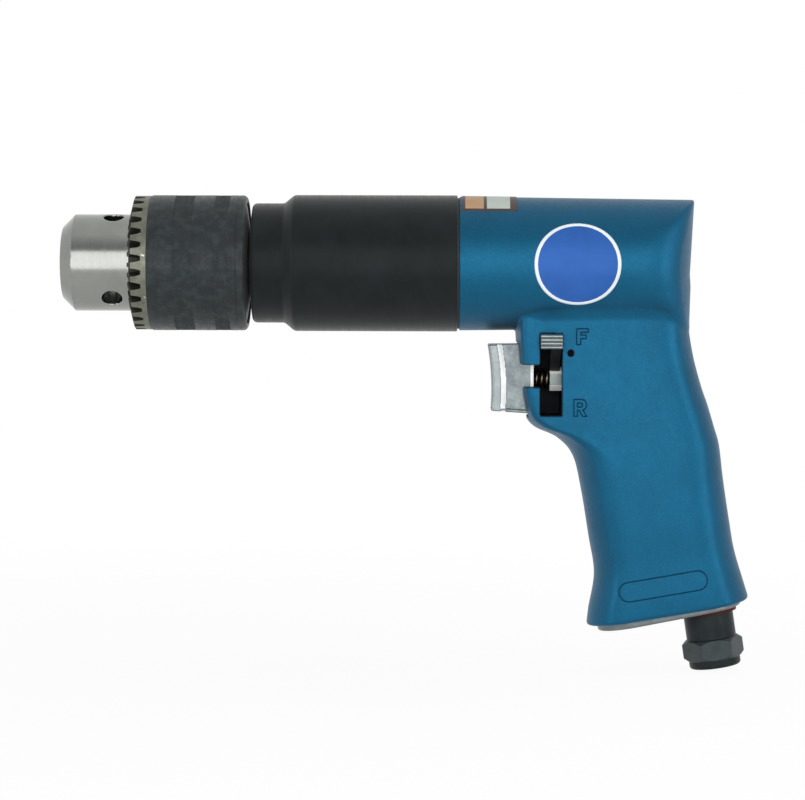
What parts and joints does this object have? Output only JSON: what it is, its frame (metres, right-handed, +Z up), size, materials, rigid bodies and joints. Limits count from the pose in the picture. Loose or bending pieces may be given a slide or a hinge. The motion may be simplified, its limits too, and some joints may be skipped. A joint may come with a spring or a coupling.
{
  "type": "pistol grip air drill",
  "caption": "Pistol grip air drill with a keyed chuck, geared vane motor, sliding trigger, reverse lever and threaded air inlet in the grip.",
  "frame": {"origin": "middle of the chuck's nose face, on the spindle's axis", "axes": "+X along the spindle from the nose to the back, +Z up from the grip to the barrel, +Y to the drill's right side, away from the reverse lever"},
  "size_m": [0.2186, 0.0432, 0.1511],
  "materials": {
    "blue_paint": "gloss",
    "black_oxide_steel": "satin",
    "bare_steel": "satin",
    "cast_silver": "satin",
    "bearing_steel": "polished",
    "gear_steel": "satin",
    "spring_steel": "satin",
    "bronze": "satin",
    "black_rubber": "matte",
    "red_rubber": "matte",
    "vane_fibre": "matte",
    "felt": "matte",
    "blue_badge": "gloss",
    "printed_label": "satin"
  },
  "bodies": {
    "housing": {"housing": "blue_paint", "gear_case": "black_oxide_steel", "case_gasket": "black_rubber", "ring_gear": "gear_steel", "dust_seal": "black_rubber", "spindle_front_bearing_outer": "bearing_steel", "spindle_rear_bearing_outer": "bearing_steel", "bearing_spacer": "bearing_steel", "bearing_retainer": "bearing_steel", "front_end_plate": "gear_steel", "rear_end_plate": "gear_steel", "motor_cylinder": "gear_steel", "rotor_front_bearing_outer": "bearing_steel", "rotor_rear_bearing_outer": "bearing_steel", "cylinder_pin": "bare_steel", "motor_gasket": "black_rubber", "valve_seat": "bronze", "valve_pin": "black_oxide_steel", "inlet_bushing": "black_oxide_steel", "inlet_screen": "bronze", "inlet_seal": "red_rubber", "exhaust_deflector": "cast_silver", "muffler_felt": "felt", "deflector_screws": "bare_steel", "side_badge": "blue_badge", "top_label": "printed_label", "trigger_spring": "spring_steel"},
    "spindle": {"spindle": "bare_steel", "spindle_front_bearing_inner": "bearing_steel", "spindle_rear_bearing_inner": "bearing_steel", "second_stage_pins": "bare_steel", "chuck_body": "bare_steel", "chuck_screw": "bare_steel"},
    "chuck_sleeve": {"chuck_sleeve": "black_oxide_steel", "chuck_nut": "bare_steel"},
    "first_stage_carrier": {"first_stage_carrier": "gear_steel", "first_stage_pins": "bare_steel"},
    "rotor": {"rotor": "gear_steel", "rotor_vanes": "vane_fibre", "rotor_front_bearing_inner": "bearing_steel", "rotor_rear_bearing_inner": "bearing_steel"},
    "trigger": {"trigger": "cast_silver", "trigger_stem": "bare_steel"},
    "reverse_lever": {"reverse_lever": "black_oxide_steel", "reverse_knob": "cast_silver", "lever_hub": "bare_steel", "reverse_valve": "bronze"},
    "chuck_jaw_1": {"chuck_jaw_1": "bare_steel"},
    "second_stage_planet_1": {"second_stage_planet_1": "gear_steel"},
    "first_stage_planet_1": {"first_stage_planet_1": "gear_steel"},
    "chuck_jaw_2": {"chuck_jaw_2": "bare_steel"},
    "second_stage_planet_2": {"second_stage_planet_2": "gear_steel"},
    "first_stage_planet_2": {"first_stage_planet_2": "gear_steel"},
    "chuck_jaw_3": {"chuck_jaw_3": "bare_steel"},
    "second_stage_planet_3": {"second_stage_planet_3": "gear_steel"},
    "first_stage_planet_3": {"first_stage_planet_3": "gear_steel"}
  },
  "joints": [
    {"name": "spindle_spin", "type": "hinge", "parent": "housing", "child": "spindle", "pos_m": [0.0687, 0, 0], "axis": [1, 0, 0], "continuous": true},
    {"name": "first_carrier_spin", "type": "hinge", "parent": "housing", "child": "first_stage_carrier", "pos_m": [0.1015, 0, 0], "axis": [1, 0, 0], "continuous": true},
    {"name": "rotor_spin", "type": "hinge", "parent": "housing", "child": "rotor", "pos_m": [0.1505, 0, 0], "axis": [1, 0, 0], "continuous": true},
    {"name": "second_planet_1_spin", "type": "hinge", "parent": "spindle", "child": "second_stage_planet_1", "pos_m": [0.0945, 0, 0.00945], "axis": [1, 0, 0], "continuous": true},
    {"name": "first_planet_1_spin", "type": "hinge", "parent": "first_stage_carrier", "child": "first_stage_planet_1", "pos_m": [0.1085, 0, 0.00945], "axis": [1, 0, 0], "continuous": true},
    {"name": "second_planet_2_spin", "type": "hinge", "parent": "spindle", "child": "second_stage_planet_2", "pos_m": [0.0945, -0.00818, -0.00473], "axis": [1, 0, 0], "continuous": true},
    {"name": "first_planet_2_spin", "type": "hinge", "parent": "first_stage_carrier", "child": "first_stage_planet_2", "pos_m": [0.1085, -0.00818, -0.00473], "axis": [1, 0, 0], "continuous": true},
    {"name": "second_planet_3_spin", "type": "hinge", "parent": "spindle", "child": "second_stage_planet_3", "pos_m": [0.0945, 0.00818, -0.00473], "axis": [1, 0, 0], "continuous": true},
    {"name": "first_planet_3_spin", "type": "hinge", "parent": "first_stage_carrier", "child": "first_stage_planet_3", "pos_m": [0.1085, 0.00818, -0.00473], "axis": [1, 0, 0], "continuous": true},
    {"name": "sleeve_turn", "type": "hinge", "parent": "spindle", "child": "chuck_sleeve", "pos_m": [0.0387, 0, 0], "axis": [1, 0, 0], "range_deg": [0, 3950]},
    {"name": "jaw_1_slide", "type": "slide", "parent": "spindle", "child": "chuck_jaw_1", "axis": [-0.9681, 0.2449, -0.0521], "range_m": [0, 0.02197]},
    {"name": "jaw_2_slide", "type": "slide", "parent": "spindle", "child": "chuck_jaw_2", "axis": [-0.9681, -0.0774, 0.2381], "range_m": [0, 0.02197]},
    {"name": "jaw_3_slide", "type": "slide", "parent": "spindle", "child": "chuck_jaw_3", "axis": [-0.9681, -0.1675, -0.1861], "range_m": [0, 0.02197]},
    {"name": "trigger_slide", "type": "slide", "parent": "housing", "child": "trigger", "axis": [1, 0, 0], "range_m": [0, 0.004], "stiffness_N_per_m": 900, "springref_m": -0.006, "deforming": ["trigger_spring"]},
    {"name": "lever_turn", "type": "hinge", "parent": "housing", "child": "reverse_lever", "pos_m": [0.1567, 0, -0.0366], "axis": [1, 0, 0], "range_deg": [0, 60]}
  ],
  "couplings": [
    {"joint": "first_carrier_spin", "follows": "spindle_spin", "ratio": 4.5},
    {"joint": "rotor_spin", "follows": "spindle_spin", "ratio": 20.25},
    {"joint": "second_planet_1_spin", "follows": "spindle_spin", "ratio": -2.8},
    {"joint": "first_planet_1_spin", "follows": "spindle_spin", "ratio": -12.6},
    {"joint": "second_planet_2_spin", "follows": "spindle_spin", "ratio": -2.8},
    {"joint": "first_planet_2_spin", "follows": "spindle_spin", "ratio": -12.6},
    {"joint": "second_planet_3_spin", "follows": "spindle_spin", "ratio": -2.8},
    {"joint": "first_planet_3_spin", "follows": "spindle_spin", "ratio": -12.6},
    {"joint": "jaw_1_slide", "follows": "sleeve_turn", "m_per_rad": 0.00031783},
    {"joint": "jaw_2_slide", "follows": "sleeve_turn", "m_per_rad": 0.00031783},
    {"joint": "jaw_3_slide", "follows": "sleeve_turn", "m_per_rad": 0.00031783}
  ]
}
